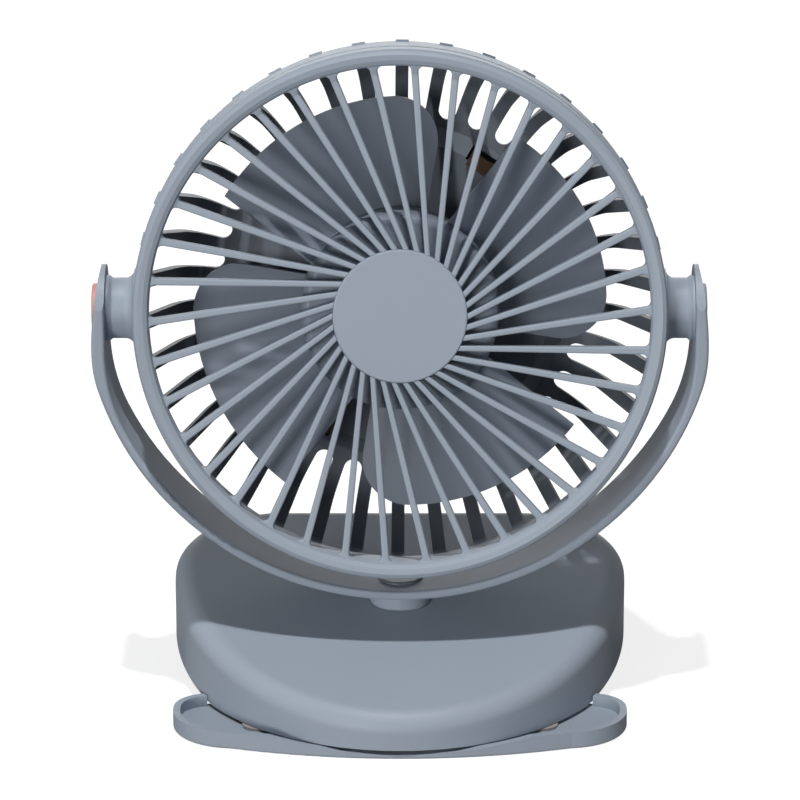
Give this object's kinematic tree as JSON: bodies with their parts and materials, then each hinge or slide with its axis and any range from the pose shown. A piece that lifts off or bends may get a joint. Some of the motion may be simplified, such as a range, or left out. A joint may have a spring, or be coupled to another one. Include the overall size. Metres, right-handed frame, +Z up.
{
  "type": "clip fan",
  "caption": "Small caged fan that tilts in a U-shaped yoke, swivels on a battery base and clips to an edge by a sprung lower jaw; push-button on the yoke.",
  "frame": {"origin": "on the standing surface, under the swivel axis", "axes": "+Z up, -Y to the front, +X to the right-hand side seen from the front"},
  "size_m": [0.1715, 0.1095, 0.188],
  "materials": {
    "shell_plastic": "moulded blue-grey ABS, fine satin texture",
    "blade_plastic": "moulded blue-grey, smooth satin",
    "latch_plastic": "dark brown moulded",
    "motor_plastic": "black moulded",
    "pin_plastic": "grey acetal, smooth",
    "button_coral": "coral, satin",
    "pad_rubber": "pale pinkish grey rubber",
    "foot_rubber": "dark grey rubber",
    "screw_steel": "zinc plated",
    "shaft_steel": "ground steel",
    "spring_steel": "spring wire",
    "can_steel": "nickel-plated pressed steel",
    "core_steel": "stacked laminations",
    "magnet_dark": "ferrite ring",
    "coil_copper": "enamelled copper wire",
    "bearing_brass": "sintered bronze",
    "board_green": "solder mask",
    "cell_wrap": "shrink wrap",
    "light_lens": "milky lens"
  },
  "bodies": {
    "lower_jaw": {"lower_jaw": "shell_plastic", "foot_pads": "foot_rubber", "jaw_pad": "pad_rubber", "hinge_pin": "shaft_steel", "clip_spring": "spring_steel"},
    "base": {"base_top_shell": "shell_plastic", "base_bottom_shell": "shell_plastic", "base_screws": "screw_steel", "lip_pad": "pad_rubber", "battery_cell": "cell_wrap", "battery_cradle": "motor_plastic", "control_board": "board_green", "charge_board": "board_green", "usb_socket": "shaft_steel", "charge_light": "light_lens"},
    "yoke": {"yoke": "shell_plastic", "pivot_pin_left": "pin_plastic", "pivot_pin_right": "pin_plastic", "tilt_washers": "pin_plastic", "pivot_cap": "shell_plastic", "button_switch": "board_green", "swivel_post": "pin_plastic", "swivel_washer": "screw_steel", "swivel_nut": "screw_steel"},
    "speed_button": {"speed_button": "button_coral"},
    "head": {"front_grille": "shell_plastic", "grille_cap": "shell_plastic", "rear_shell": "shell_plastic", "latch_hooks": "latch_plastic", "rear_cover": "shell_plastic", "motor_mount": "motor_plastic", "motor_screws": "screw_steel", "stator_core": "core_steel", "stator_coils": "coil_copper", "motor_board": "board_green", "motor_bearings": "bearing_brass"},
    "impeller": {"impeller": "blade_plastic", "rotor_can": "can_steel", "rotor_magnet": "magnet_dark", "motor_shaft": "shaft_steel", "shaft_clip": "screw_steel"}
  },
  "joints": [
    {"name": "clip_open", "type": "hinge", "parent": "lower_jaw", "child": "base", "pos_m": [0, 0.043, 0.0061], "axis": [-1, 0, 0], "range_deg": [0, 28], "stiffness_Nm_per_rad": 1.2, "springref_deg": -57.3},
    {"name": "yoke_swivel", "type": "hinge", "parent": "base", "child": "yoke", "pos_m": [0, 0, 0.0252], "axis": [0, 0, 1], "range_deg": [-180, 180]},
    {"name": "head_tilt", "type": "hinge", "parent": "yoke", "child": "head", "pos_m": [0, 0, 0.1125], "axis": [1, 0, 0], "range_deg": [-82, 98]},
    {"name": "fan_spin", "type": "hinge", "parent": "head", "child": "impeller", "pos_m": [0, 0, 0.1125], "axis": [0, -0.9903, 0.1392], "continuous": true},
    {"name": "button_press", "type": "slide", "parent": "yoke", "child": "speed_button", "axis": [1, 0, 0], "range_m": [0, 0.0004], "stiffness_N_per_m": 1500}
  ]
}
